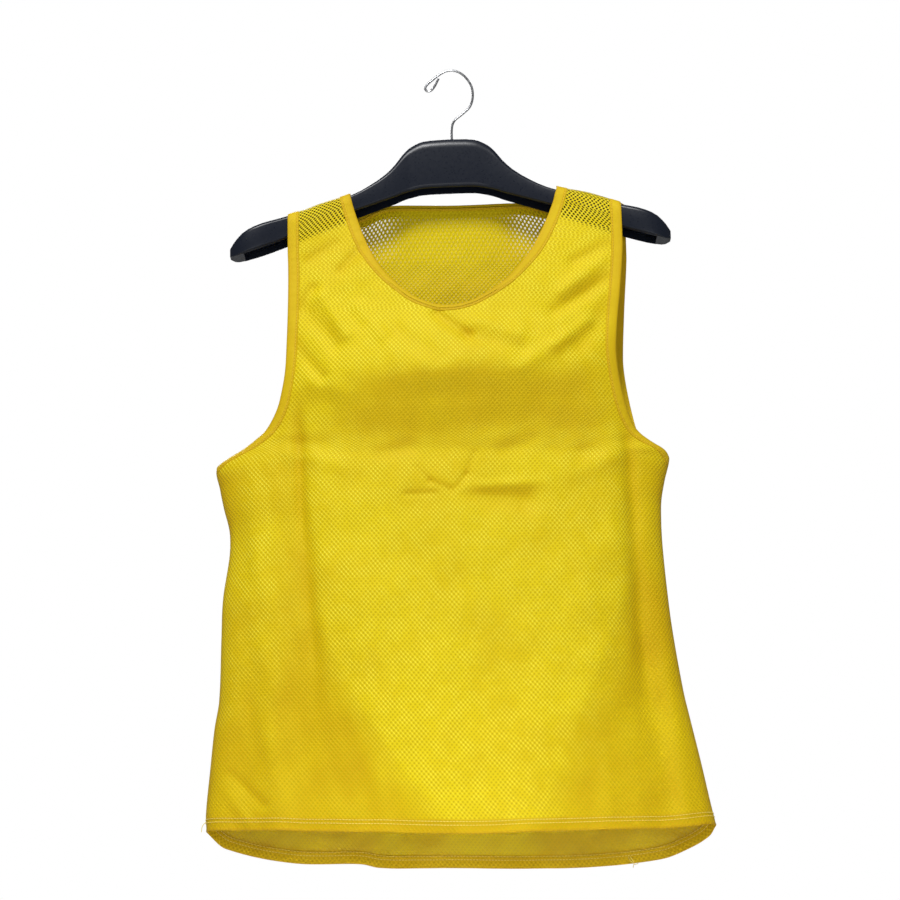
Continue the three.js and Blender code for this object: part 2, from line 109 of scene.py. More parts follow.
# How the bib was cut and how it hangs. Heights are from the hook's bend.
bibPlan = {
    "armpit": -413,
    "edges": [  # height, left edge, right edge
        (-810, -251, 243), (-768, -248.5, 234.5), (-751, -249, 231), (-709, -245, 223), (-670, -241, 215),
        (-642, -236.5, 209.5), (-583, -234.5, 201.5), (-544, -233, 198), (-504, -227, 195.5), (-489, -226, 195),
        (-474, -227, 195), (-454, -232, 196), (-434, -236, 200), (-413, -239, 205), (-405, -227.7, 201),
        (-397, -212.6, 188), (-388, -199.4, 176.5), (-379.5, -189, 171.5), (-361, -178, 165.5),
        (-342, -172.7, 162), (-323, -169.4, 159.5), (-304, -168, 158.5), (-253, -166, 161.5),
        (-205, -166, 165), (-172, -168.5, 166), (-150, -170.5, 167), (-60, -170.5, 167)],
    "depths": [  # height, front middle, back middle, front edge, back edge, how round the edges are
        (-810, -65, 52, 0, 0, 0.5), (-700, -61, 48, 0, 0, 0.5), (-560, -53, 42, 0, 0, 0.5),
        (-470, -46.5, 38, 0, 0, 0.5), (-413, -42, 36, 0, 0, 0.5), (-405, -41.5, 35, -5, 4, 0.52),
        (-388, -42.5, 34, -14, 11, 0.6), (-361, -49, 32, -24, 17, 0.8), (-332, -56, 30, -28, 19, 0.85),
        (-304, -52.5, 28, -30, 20, 0.9), (-250, -38, 24, -30, 19, 0.9), (-190, -32, 20, -28, 15, 0.9),
        (-60, -30, 18, -27, 12, 0.9)],
    "crown": 2.3,
    "overArm": 2.4,  # how far the cloth stands off the hanger
    "strapLift": [  # across, and how much more it stands off at the hanger's top
        (-172, 0.2), (-150, 0.4), (-135, 1.6), (-105, 0.8), (105, 2.8), (135, 4.6), (168, 1)],
    "overRound": 0.66,  # how square it goes over the arm, 1 is an ellipse
    "neckStand": (-128, 62, 14),  # height, reach and blend of the back between the straps
    "shoulderBlend": 90,
    "hems": [  # from -1 at the left seam to 1 at the right, front height, back height
        (-1, -767.5, -767.5), (-0.93, -768.5, -781.5), (-0.67, -772, -795), (-0.4, -776, -796.6),
        (-0.33, -776.5, -800.2), (0, -781, -801.5), (0.25, -780.5, -803.5), (0.5, -778.5, -804),
        (0.77, -776.5, -799), (0.88, -774.5, -790.5), (0.97, -771.5, -779.5), (1, -771, -771)],
    "backArmholeOut": 6,  # at the right armhole the back shows beside the front
    "frontArmholeIn": [(-413, 0), (-395, 1), (-370, 3), (-330, 4), (-280, 3), (-240, 1), (-200, 0)],
    "longFold": 70,  # a longer fold fades at its ends
    "openFold": -740,  # one that ends lower runs out at the hem
    "waves": {"count": 9, "shortest": 21, "longer": 12, "depth": 0.17},
}
frontPlan = {
    "sign": -1,
    "middle": 1,
    "edge": 3,
    "neck": [
        (-105, -140), (-97.5, -166), (-87.7, -194), (-75, -219), (-57.5, -239.5), (-38, -254.5), (-14, -262.5),
        (8, -260), (30, -249), (53, -231.5), (73, -206), (87, -179), (97, -155), (103, -137)],
    "folds": [  # from x, from height, to x, to height, width, depth (below 0 is a ridge)
        (-130, -398, 140, -392, 24, 2), (-164, -380, -150, -770, 20, 4), (170, -370, 184, -770, 18, 4),
        (-158, -350, -153, -500, 6, 4.6), (-153, -470, -139, -660, 8, 4), (-140, -375, -128, -580, 18, -2.4),
        (163, -352, 168, -520, 7, 3.6), (166, -480, 172, -680, 8, 3.4), (142, -370, 148, -560, 17, -2.2),
        (8, -456, 84, -462, 17, 2.4), (-60, -326, 90, -316, 24, -2),
        (-42, -426, -30, -440, 2.7, 1), (-30, -440, -12, -448, 3, 1.2), (14, -412, 6, -434, 3, 1),
        (6, -434, -4, -447, 3, 1.2), (-4, -447, 84, -443, 6, -2), (14, -454, 60, -460, 12, 1.9),
        (-52, -459, -22, -457, 12, 0.6), (-54, -453, -24, -452, 3, 1), (-9, -450, -8, -452, 3, 1),
        (-160, -297, -134, -333, 7, 2.8), (-150, -262, -120, -300, 9, 2.8), (96, -270, 150, -234, 7.5, 3),
        (104, -248, 146, -214, 8, -2.6), (116, -216, 150, -197, 6.5, 2.8), (118, -304, 150, -266, 11, 3),
        (96, -306, 128, -280, 7, -2.2), (60, -330, 104, -300, 9, -2), (-196, -392, -120, -402, 9, 1.8),
        (-186, -396, -96, -430, 10, -1.6), (182, -394, 120, -410, 9, 1.6), (176, -402, 100, -440, 10, -1.4),
        (-148, -208, -120, -190, 6, 2.8), (-114, -220, -94, -196, 6, 3), (-162, -264, -142, -240, 7, 2.8),
        (-134, -248, -108, -290, 8, -3), (-96, -262, -74, -292, 8, -2.4), (-60, -290, -20, -318, 10, 2.2),
        (-20, -272, 10, -296, 6, 3), (10, -296, 62, -312, 8, 2.2), (20, -280, 60, -294, 7, -1.8),
        (-140, -338, -108, -352, 10, -1.6), (-78, -412, -50, -404, 8, 1.4), (40, -410, 72, -398, 8, 1.3),
        (-206, -430, -196, -560, 12, -3), (-212, -560, -198, -700, 14, 2.4), (-190, -640, -176, -778, 12, -3.4),
        (-232, -728, -206, -764, 6, -1.6), (-224, -716, -192, -748, 5, 1.5), (-100, -500, -92, -640, 20, -2.6),
        (110, -480, 124, -600, 20, -2.6), (196, -600, 206, -764, 10, -2.8), (40, -540, 26, -700, 26, 2),
        (-28, -560, -20, -760, 24, -2.4), (74, -620, 52, -786, 16, -2.4), (-84, -700, -78, -788, 10, -2.2),
        (-160, -352, 110, -346, 18, 1), (-30, -396, 120, -392, 13, -1.4), (128, -700, 132, -786, 9, -2.2)],
    "slopes": [  # from x, from height, to x, to height, the side that falls back, over what width, depth, bow
        (-134, -585, -6, -784, -1, 62, 10, 10), (178, -500, 60, -784, 1, 60, 8, 0)],
}
backPlan = {
    "sign": 1,
    "middle": 2,
    "edge": 4,
    "neck": [
        (-106, -144), (-103, -150), (-95, -150), (-82, -143), (-62, -138.5), (0, -139.5), (62, -138.5), (82, -141),
        (95, -144), (101, -145.5), (104, -140)],
    "folds": [
        (-120, -362, 110, -374, 34, 4), (-150, -420, -138, -770, 20, 8), (150, -420, 164, -770, 18, 8),
        (-92, -190, -30, -330, 20, 4), (94, -190, 40, -320, 20, 4), (20, -560, -30, -780, 24, 7),
        (-128, -196, -80, -290, 12, -2.4), (126, -196, 84, -286, 12, -2.2), (-190, -396, -92, -424, 10, 2),
        (180, -398, 96, -430, 10, 2), (-60, -420, 44, -428, 9, 2.2), (-70, -432, 60, -440, 7, -1.6),
        (78, -520, 96, -700, 18, -3), (-80, -500, -92, -690, 18, -3), (-206, -520, -196, -770, 12, -3),
        (190, -560, 204, -770, 10, -3), (64, -690, 76, -796, 11, 3), (-60, -700, -70, -796, 12, -2.6),
        (0, -300, 6, -420, 26, -2), (-30, -470, 40, -486, 12, 1.6)],
    "slopes": [(-150, -520, -30, -800, -1, 80, 6, 6), (164, -560, 44, -800, 1, 78, 6.5, 4)],
}
hangerPlan = {
    "centre": -5,
    "tilt": 0.022,
    "middle": 0.35,
    "strapInner": 104,
    "rows": [  # reach from the middle, top, underside, half depth, bow forward
        (0, -76.5, -128, 13, 0), (26, -78, -128.5, 13, 0), (39, -84, -131, 13, 0), (47, -92, -133.5, 13.2, -0.5),
        (54, -101.5, -136.5, 13.5, -0.8), (64, -112, -140, 13.8, -1.2), (80, -123.5, -145.5, 14.3, -1.8),
        (98, -133.5, -152, 15, -2.8), (135, -146.5, -167, 15.5, -5.5), (169, -157, -181.5, 16, -9),
        (190, -163.5, -189.5, 16.5, -12), (205, -171, -194.5, 14.5, -14), (214, -180, -197, 11, -15),
        (219.5, -187.5, -196, 5.5, -15.5)],
}


def smoothStep(value):
    value = np.clip(value, 0, 1)
    return value * value * (3 - 2 * value)


def readTable(rows, value, column):  # a smooth line through the rows
    rows = np.asarray(rows, float)
    value = np.asarray(value, float)
    keys, cells = rows[:, 0], rows[:, column]
    last = len(keys) - 2
    i = np.clip(np.searchsorted(keys, value) - 1, 0, last)
    span = keys[i + 1] - keys[i]
    part = np.clip((value - keys[i]) / span, 0, 1)
    before, after = np.maximum(i - 1, 0), np.minimum(i + 2, len(keys) - 1)
    inSlope = (cells[i + 1] - cells[before]) / (keys[i + 1] - keys[before])
    outSlope = (cells[after] - cells[i]) / (keys[after] - keys[i])
    square, cube = part ** 2, part ** 3
    return ((2 * cube - 3 * square + 1) * cells[i] + (cube - 2 * square + part) * span * inSlope
            + (3 * square - 2 * cube) * cells[i + 1] + (cube - square) * span * outSlope)


def hangerAt(x):  # the arm's top, underside, middle, half depth and bow
    reach = np.abs(x - hangerPlan["centre"])
    lift = hangerPlan["tilt"] * (x - hangerPlan["centre"])
    top, under, half, bow = (readTable(hangerPlan["rows"], reach, k) for k in (1, 2, 3, 4))
    top, under = top + lift, under + lift
    return top, under, under + (top - under) * hangerPlan["middle"], half, bow


def turnHeight(x):  # where the cloth starts to turn over the arm
    stand, reach, blend = bibPlan["neckStand"]
    onArm = smoothStep((np.abs(x - hangerPlan["centre"]) - reach) / blend)
    return stand + (hangerAt(x)[2] - stand) * onArm


def edgesAt(plan, height):  # the middle and half the width of a panel
    left, right = (readTable(bibPlan["edges"], height, k) for k in (1, 2))
    if plan is backPlan:
        right = right + bibPlan["backArmholeOut"] * smoothStep((height - bibPlan["armpit"]) / 60)
    else:
        right = right - readTable(bibPlan["frontArmholeIn"], height, 1)
    return (left + right) / 2, (right - left) / 2


def hemAt(plan, u):  # the height of a panel's lower edge
    return readTable(bibPlan["hems"], u, plan["middle"])


def besideLine(x, height, fromX, fromHeight, toX, toHeight):  # share of the line's way, distance off it, its length
    alongX, alongHeight = toX - fromX, toHeight - fromHeight
    length = math.hypot(alongX, alongHeight)
    x, height = x - fromX, height - fromHeight
    return (x * alongX + height * alongHeight) / length ** 2, (height * alongX - x * alongHeight) / length, length


def foldDepth(plan, x, height):  # how far the creases push the cloth in at a place
    depth = np.zeros(np.broadcast(x, height).shape)
    for *line, side, run, deep, bow in plan["slopes"]:
        part, off, _ = besideLine(x, height, *line)
        off = side * off - bow * 4 * np.clip(part, 0, 1) * (1 - np.clip(part, 0, 1))
        off = np.clip((off + np.sqrt(off ** 2 + 4)) / 2 / run, 0, 1)  # a crisp start that levels out
        depth += deep * off * (3 - off ** 2) / 2 * smoothStep((part + 0.1) / 0.5)
    for *line, width, deep in plan["folds"]:
        part, off, length = besideLine(x, height, *line)
        away = np.hypot(off, (part - np.clip(part, 0, 1)) * length)
        fade = 1
        if length > bibPlan["longFold"]:
            fade = smoothStep((part + 0.12) / 0.5)
            if line[3] > bibPlan["openFold"]:
                fade = fade * smoothStep((1.12 - part) / 0.5)
        depth += deep * np.exp(-(away / width) ** 2) * fade
    return depth


def softWaves(x, height, seed):  # the knit's own slight unevenness
    total = np.zeros(np.broadcast(x, height).shape)
    plan = bibPlan["waves"]
    for k in range(plan["count"]):
        angle = seed + 2.4 * k
        length = plan["shortest"] + plan["longer"] * k
        total += np.sin((x * math.cos(angle) + height * math.sin(angle)) * 2 * math.pi / length + seed * k)
    return total * plan["depth"]


def clothAt(plan, x, along):  # a place on the cloth: across, and its height or its way up over the arm
    sign = plan["sign"]
    turn = turnHeight(x)
    height = np.minimum(along, turn)
    half, bow = hangerAt(x)[3:]
    midX, halfX = edgesAt(plan, height)
    inside = np.clip(np.abs((x - midX) / halfX), 0, 1)
    broad, edge, power = (readTable(bibPlan["depths"], height, k) for k in (plan["middle"], plan["edge"], 5))
    crown = (1 - inside ** bibPlan["crown"]) ** power
    fade = smoothStep((1 - inside) * 6)
    relief = foldDepth(plan, x, height) + softWaves(x, height, 1.3 + sign)
    hung = edge + (broad - edge) * crown - sign * fade * relief
    overArm = bibPlan["overArm"]
    atArm = bow + sign * (half + overArm)
    y = atArm + (hung - atArm) * smoothStep((turn - height) / bibPlan["shoulderBlend"])
    angle = np.clip((along - turn) / overLength(x), 0, 1) * math.pi / 2
    over = along > turn
    y = np.where(over, bow + sign * (half + overArm) * np.cos(angle) ** bibPlan["overRound"], y)
    return np.stack([x, y, height + np.where(over, riseAt(x) * np.sin(angle) ** bibPlan["overRound"], 0)], -1)


def riseAt(x):  # how high the shoulder seam lies over the place where the cloth turns
    reach = np.maximum(np.abs(x - hangerPlan["centre"]), hangerPlan["strapInner"])
    rows = hangerPlan["rows"]
    rise = (1 - hangerPlan["middle"]) * (readTable(rows, reach, 1) - readTable(rows, reach, 2))
    return rise + bibPlan["overArm"] + readTable(bibPlan["strapLift"], x, 1)


def overLength(x):  # the way from the arm's middle up to the shoulder seam
    across = hangerAt(x)[3] + bibPlan["overArm"]
    return 1.7 * np.sqrt((across ** 2 + riseAt(x) ** 2) / 2)


def splineThrough(points, step):  # a smooth line through a few points, evenly spaced
    points = np.asarray(points, float)
    ends = np.vstack([2 * points[0] - points[1], points, 2 * points[-1] - points[-2]])
    fine = []
    for i in range(1, len(ends) - 2):
        t = np.linspace(0, 1, 24, endpoint=False)[:, None]
        a, b, c, d = ends[i - 1:i + 3]
        fine.append(0.5 * (2 * b + (c - a) * t + (2 * a - 5 * b + 4 * c - d) * t ** 2
                           + (3 * b - a - 3 * c + d) * t ** 3))
    return evenly(np.vstack(fine + [points[-1:]]), step)


def wayAlong(line):  # how far along its line each point lies
    return np.concatenate([[0], np.cumsum(np.linalg.norm(np.diff(line, axis=0), axis=1))])


def evenly(line, step):  # the same line with points at equal steps
    gone = wayAlong(line)
    stops = np.linspace(0, gone[-1], max(2, round(gone[-1] / step)) + 1)
    return np.stack([np.interp(stops, gone, line[:, k]) for k in range(line.shape[1])], -1)


def neckChart(plan):  # the neck edge from the left shoulder seam to the right one, across and along
    line = splineThrough(plan["neck"], 2)
    ends = [(x, float(turnHeight(x) + overLength(x))) for x in (line[0, 0], line[-1, 0])]
    whole = np.vstack([[ends[0]], line, [ends[1]]])
    return evenly(whole, 2)


def armholeChart(plan, hand):  # the armhole edge from the armpit up to the shoulder seam
    sign = -1 if hand == "left" else 1
    foot = netPlan["strapFoot"]
    heights = np.linspace(bibPlan["armpit"], foot, 240)
    midX, halfX = edgesAt(plan, heights)
    line = np.stack([midX + sign * halfX, heights], -1)
    x = line[-1, 0]
    upright = np.linspace(foot + 1, float(turnHeight(x) + overLength(x)), 60)
    return evenly(np.vstack([line, np.stack([np.full(60, x), upright], -1)]), 2)


def insideOutline(outline, x, y):
    inside = np.zeros(x.shape, bool)
    for (ax, ay), (bx, by) in zip(outline, np.roll(outline, -1, axis=0)):
        if ay != by:
            crosses = (y > min(ay, by)) & (y <= max(ay, by))
            inside ^= crosses & (x < ax + (y - ay) * (bx - ax) / (by - ay))
    return inside


def offsetLine(line, distance):  # moved sideways into the cloth
    along = np.gradient(line, axis=0)
    along /= np.linalg.norm(along, axis=1, keepdims=True)
    return line + np.stack([along[:, 1], -along[:, 0]], -1) * distance


# The cloth's net: its cell, and the stretches that the cells divide
netPlan = {
    "cell": 2.3,
    "across": 520,
    "body": 370,
    "chest": 225,
    "strap": 50,
    "strapFoot": -200,  # from this height up the net's columns are upright
    "crowding": 0.6,  # how much closer the columns lie at the edges
    "growth": 1.12,
    "overRows": 12,
    "inset": 1,  # the cut edges end inside the bindings
    "neckPull": (1.6, -280),  # corners so many cells off the neck line, above this height, are drawn onto it
    "strapColumns": (135, 25),  # the straps' middle, and how far beside it their rows are measured
    "closerRows": (0.2, -225, 45),  # how much closer the knit's rows lie on the straps, from where, over what way
}


def clothMesh(name, plan):
    cell, armpit, foot = netPlan["cell"], bibPlan["armpit"], netPlan["strapFoot"]
    shares = {part: np.linspace(0, 1, round(netPlan[part] / cell) + 1) for part in ("body", "chest", "strap")}
    across = np.linspace(-1, 1, round(netPlan["across"] / cell) + 1)
    u = (1 - netPlan["crowding"]) * across + netPlan["crowding"] * np.sin(across * math.pi / 2)
    hem = hemAt(plan, u)
    rows = [hem + (armpit - hem) * t for t in shares["body"]]
    rows += [np.full(u.shape, armpit + (foot - armpit) * t ** netPlan["growth"]) for t in shares["chest"][1:]]
    midX, halfX = edgesAt(plan, np.float64(foot))
    strapX = midX + u * (halfX - netPlan["inset"])
    turn = turnHeight(strapX)
    charts = []
    for h in rows:
        mid, half = edgesAt(plan, h)
        inset = netPlan["inset"] * np.clip((h - armpit) / 20, 0, 1)
        charts.append(np.stack([mid + u * (half - inset), h], -1))
    charts += [np.stack([strapX, foot + (turn - foot) * t], -1) for t in shares["strap"][1:]]
    over = np.linspace(0, 1, netPlan["overRows"])[1:]
    charts += [np.stack([strapX, turn + overLength(strapX) * t], -1) for t in over]
    chart = np.array(charts)
    neck = offsetLine(neckChart(plan), netPlan["inset"])
    outline = np.vstack([[(neck[0, 0], 60)], neck, [(neck[-1, 0], 60)]])  # closed above everything
    middle = (chart[:-1, :-1] + chart[1:, :-1] + chart[:-1, 1:] + chart[1:, 1:]) / 4
    keep = ~insideOutline(outline, middle[..., 0], middle[..., 1])
    width = chart.shape[1]
    i, j = np.nonzero(keep)
    corner = i * width + j
    faces = np.stack([corner, corner + 1, corner + width + 1, corner + width], -1)
    if plan["sign"] > 0:
        faces = faces[:, ::-1]
    flat = chart.reshape(-1, 2)
    edges = np.sort(np.stack([faces, np.roll(faces, -1, axis=1)], -1).reshape(-1, 2), axis=1)
    lone, count = np.unique(edges, axis=0, return_counts=True)
    near, above = netPlan["neckPull"]
    for v in np.unique(lone[count == 1]):
        gap = np.linalg.norm(neck - flat[v], axis=1)
        if gap.min() < near * cell and flat[v, 1] > above:
            flat[v] = neck[gap.argmin()]
    points = clothAt(plan, flat[:, 0], flat[:, 1])
    grid = points.reshape(chart.shape[0], width, 3)
    grid[:len(shares["body"]), [0, -1], 1] = 0  # both panels meet at the side seams
    return makeSheet(name, points, faces, clothUv(grid), clothState(plan, flat))


# Where the knit is pulled open, and how much shade is painted into its colour
statePlan = {
    "middle": -2,
    "fade": 12,
    "frontOpen": (84, 16, 8),  # from this reach, so far under the arm, over what height
    "backOpen": (104, 4),  # from this reach up on the strap, over what height
    "corner": (46, 30, -206, 50, 0.68),  # beside the back's neck: from reach, run, from height, run, how open
    # painted shade: at the doubled hem, in creases, beside the side seams, on the turned sides and where the cloth
    # faces down
    "hem": 0.75,
    "crease": (13, 0.5),  # the crease's depth that would give a painted shade of 1, and the most
    "sewn": (3, 0.4),  # painted shade beside the side seams
    "side": (0.16, 0.22),
    "lean": (0.36, -0.14, 0.34),
    "range": (-0.2, 1),
}


def clothState(plan, chart):  # where the cloth is pulled open, and the shade painted where it is doubled, creased or sewn, on its turned sides and where it faces down
    x, along = chart[:, 0], chart[:, 1]
    reach = np.abs(x - statePlan["middle"])
    start, under, run = statePlan["frontOpen"]
    pulled = smoothStep((reach - start) / statePlan["fade"]) * smoothStep((along - hangerAt(x)[1] + under) / run)
    if plan is backPlan:
        start, run = statePlan["backOpen"]
        onStrap = smoothStep((reach - start) / statePlan["fade"])
        fromReach, wide, fromHeight, high, level = statePlan["corner"]
        corner = smoothStep((reach - fromReach) / wide) * smoothStep((along - fromHeight) / high)
        pulled = level * corner * (1 - onStrap) + onStrap * smoothStep((along - turnHeight(x)) / run)
    mid, half = edgesAt(plan, along)
    side = np.clip(1 - np.abs((x - mid) / half), 0, 1)
    onHem = smoothStep((hemAt(plan, np.clip((x - mid) / half, -1, 1)) + hemPlan["width"] + 0.6 - along) / 1.2)
    full, most = statePlan["crease"]
    relief = np.clip(foldDepth(plan, x, along) / full, 0, most)
    wide, level = statePlan["sewn"]
    sewn = np.exp(-(side * half / wide) ** 2) * level * (along < bibPlan["armpit"])
    # painted shade on the sides as they turn away below the armpit
    wide, level = statePlan["side"]
    turned = level * smoothStep((wide - side) / wide) * smoothStep((bibPlan["armpit"] + 10 - along) / 40)
    rise = clothAt(plan, x, along + 2)[:, 1] - clothAt(plan, x, along - 2)[:, 1]
    level, least, most = statePlan["lean"]  # painted shade where it faces down
    lean = np.clip(level * plan["sign"] * rise, least, most) * (along < turnHeight(x) - 4)
    tone = np.clip(statePlan["hem"] * onHem + relief + sewn + turned + lean, *statePlan["range"])
    return {"pulledOpen": pulled, "paintedShade": tone}


def clothUv(grid):  # the way along the cloth from its middle and from its hem, in metres
    stepX = np.linalg.norm(np.diff(grid, axis=1), axis=2)
    gone = np.concatenate([np.zeros((grid.shape[0], 1)), np.cumsum(stepX, axis=1)], axis=1)
    gone -= gone[:, [gone.shape[1] // 2]]
    middle, beside = netPlan["strapColumns"]
    onStrap = np.abs(np.abs(grid[-1, :, 0] - hangerPlan["centre"]) - middle) < beside
    rise = np.linalg.norm(np.diff(grid[:, onStrap], axis=0), axis=2).mean(axis=1)
    closer, height, run = netPlan["closerRows"]
    rise *= 1 + closer * smoothStep((grid[1:, onStrap, 2].mean(axis=1) - height) / run)
    up = np.concatenate([[0], np.cumsum(rise)])
    return np.stack([gone, np.broadcast_to(up[:, None], gone.shape)], -1).reshape(-1, 2) * mm


def makeSheet(name, points, faces, uv, state):
    used, renumber = np.unique(faces, return_inverse=True)
    faces = renumber.reshape(faces.shape)
    mesh = bpy.data.meshes.new(name)
    mesh.from_pydata((points[used] * mm).tolist(), [], faces.tolist())
    layer = mesh.uv_layers.new(name="clothUv")
    corners = np.zeros(len(mesh.loops), dtype=np.int64)
    mesh.loops.foreach_get("vertex_index", corners)
    layer.data.foreach_set("uv", uv[used][corners].ravel())
    for label, values in state.items():
        mesh.attributes.new(label, "FLOAT", "POINT").data.foreach_set("value", values[used])
    return addPiece(name, mesh)


def addPiece(name, mesh):
    mesh.shade_smooth()
    piece = bpy.data.objects.new(name, mesh)
    bpy.context.collection.objects.link(piece)
    return piece


def unit(vectors):
    return vectors / np.maximum(np.linalg.norm(vectors, axis=-1, keepdims=True), 1e-9)


def skinOf(*pieces):  # the cloth's surface, for finding the nearest place on it
    points, faces = [], []
    for piece in pieces:
        start = len(points)
        points += [v.co / mm for v in piece.data.vertices]
        faces += [tuple(start + k for k in p.vertices) for p in piece.data.polygons]
    return BVHTree.FromPolygons(points, faces)


def nearestOn(skin, points):
    found = [skin.find_nearest(Vector(point))[:2] for point in points]
    return np.array([spot for spot, _ in found]), np.array([normal for _, normal in found])


def smoothed(values, rounds, closed):  # each row evened out with its neighbours
    for _ in range(rounds):
        if closed:
            values = (np.roll(values, 1, axis=0) + 2 * values + np.roll(values, -1, axis=0)) / 4
        else:
            values[1:-1] = (values[:-2] + 2 * values[1:-1] + values[2:]) / 4
    return values


def alongLine(line, closed):  # the line's direction at each point
    if closed:
        return unit(np.roll(line, -1, axis=0) - np.roll(line, 1, axis=0))
    return unit(np.gradient(line, axis=0))


def bandOn(skin, line, closed, width, steps=8):
    # walks from an edge into the cloth and gives the places and normals at every step
    along = alongLine(line, closed)
    _, normal = nearestOn(skin, line)
    normal = unit(smoothed(normal, 6, closed))
    inward = unit(np.cross(normal, along))
    probe = [np.linalg.norm(nearestOn(skin, line + side * 5 * inward)[0] - line - side * 5 * inward, axis=1).sum()
             for side in (1, -1)]
    turn = 1 if probe[0] < probe[1] else -1
    inward = inward * turn
    places, normals, ways = [line], [normal], [inward]
    for k in range(steps):
        ahead = places[-1] + ways[-1] * width / steps
        spot, face = nearestOn(skin, ahead)
        face = unit(smoothed(face, 4, closed))
        spot = smoothed(spot, 1, closed)
        way = spot - places[-1]
        way -= face * np.sum(way * face, axis=1, keepdims=True)
        places.append(spot)
        normals.append(face)
        ways.append(unit(way))
    return np.array(places), np.array(normals), inward


def bandAt(band, width, distance, lift):  # a line on the band, so far in from the edge and so far off the cloth
    places, normals, inward = band
    distance = np.broadcast_to(distance, places.shape[1]).astype(float)
    steps = places.shape[0] - 1
    level = np.clip(distance / width * steps, 0, steps - 1e-6)
    i = level.astype(int)
    part = (level - i)[:, None]
    column = np.arange(places.shape[1])
    spot = places[i, column] * (1 - part) + places[i + 1, column] * part
    face = unit(normals[i, column] * (1 - part) + normals[i + 1, column] * part)
    before = np.minimum(distance, 0)[:, None]
    return spot + inward * before + face * np.asarray(lift).reshape(-1, 1), face


def stripMesh(name, rows, closed, tone):  # a sheet through lines that run side by side, each line with its painted shade
    rows = np.array(rows)
    count, length = rows.shape[:2]
    tone = np.array(tone, float)
    if closed:
        rows = np.concatenate([rows, rows[:, :1]], axis=1)
        length += 1
    i, j = np.meshgrid(np.arange(count - 1), np.arange(length - 1), indexing="ij")
    corner = (i * length + j).ravel()
    faces = np.stack([corner, corner + 1, corner + length + 1, corner + length], -1)
    u = wayAlong(rows[count // 2])
    v = np.concatenate([[0], np.cumsum(np.linalg.norm(np.diff(rows, axis=0), axis=2).mean(axis=1))])
    uv = np.stack(np.meshgrid(u, v), -1).reshape(-1, 2) * mm
    return makeSheet(name, rows.reshape(-1, 3), faces, uv, {"paintedShade": np.repeat(tone, length)})


def ripple(line, closed, length, seed):  # small uneven puckers along a line
    gone = wayAlong(line)
    if closed:
        whole = gone[-1] + np.linalg.norm(line[0] - line[-1])
        length = whole / round(whole / length)
    wave = np.sin(gone * 2 * math.pi / length) + 0.6 * np.sin(gone * 2 * math.pi / length / 1.7 + seed)
    return wave * (0.7 + 0.3 * np.sin(gone / 31 + seed))


# Bindings: a folded strip sewn over the neck's and the armholes' edges
bindingPlan = {
    "width": 10.5,
    "stitchIn": 1.7,
    "step": 1.8,
    "lift": 0.62,
    "pucker": 0.16,
    "atFront": (5.6, 6.5),  # how wide it shows outside and inside at the front of the neck
    "atBack": (11.5, 5),
    "frontFrom": (-180, 70),  # from this height down, over what way
    "backFrom": (8, 8, -132, 6),  # from this depth back, over what way, and from this height down, over what way
}


def closedLine(line, step):
    line = evenly(np.vstack([line, line[:1]]), step)[:-1]
    return smoothed(line, 3, True)


def makeBinding(name, skin, ring, legs):
    plan = bindingPlan
    reach = plan["width"] + 2.5
    band = bandOn(skin, ring, True, reach)
    pucker = plan["pucker"] * ripple(ring, True, 7.5, 1.1)
    lift = plan["lift"]
    shape = [  # share of the leg's width, extra way in, lift, how much it puckers, how much shade is painted in
        (1, 0.15, 0.05, 0, 1), (1, -0.05, 0.6, 0.8, 0.7), (1, -0.7, 1.1, 1, 0), (1, -1.3, 0.85, 0.6, 0.3),
        (1, -plan["stitchIn"], 0.5, 0.2, 1), (1, -2.2, 0.85, 0.6, 0.35), (1, -2.9, 1.15, 0.9, 0.05),
        (0.55, 0, 1.0, 0.7, 0), (0.3, 0, 1.02, 0.5, 0.1), (0.12, 0, 1.1, 0.3, 0.25)]
    rows, stitches = [], []
    for side, leg in zip((1, -1), legs):
        rows.append([bandAt(band, reach, leg * share + more, side * (lift * up + pucker * waves))[0]
                     for share, more, up, waves, _ in shape])
        line, face = bandAt(band, reach, leg - plan["stitchIn"], side * lift * 0.72)
        stitches.append((line, face * side, True))
    fold = [bandAt(band, reach, -0.35, lift * 0.75)[0], bandAt(band, reach, -0.65, 0)[0],
            bandAt(band, reach, -0.35, -lift * 0.75)[0]]
    # painted shade in the stitch groove, at the tucked edges and along the folded edge
    tone = [row[4] for row in shape]
    piece = stripMesh(name, rows[0] + fold + rows[1][::-1], True, tone + [0.4, 0.55, 0.4] + tone[::-1])
    return piece, stitches


# Hems: the panel's own edge, turned up inside and sewn with two rows
hemPlan = {"width": 12, "rows": (7.6, 11.0), "lift": 0.7, "step": 2.2, "pucker": 0.22}


def hemLine(plan):
    u = np.linspace(-1, 1, 400)
    mid, half = edgesAt(plan, hemAt(plan, u))
    line = clothAt(plan, mid + u * half, hemAt(plan, u))
    line[[0, -1], 1] = 0
    return evenly(line, hemPlan["step"])


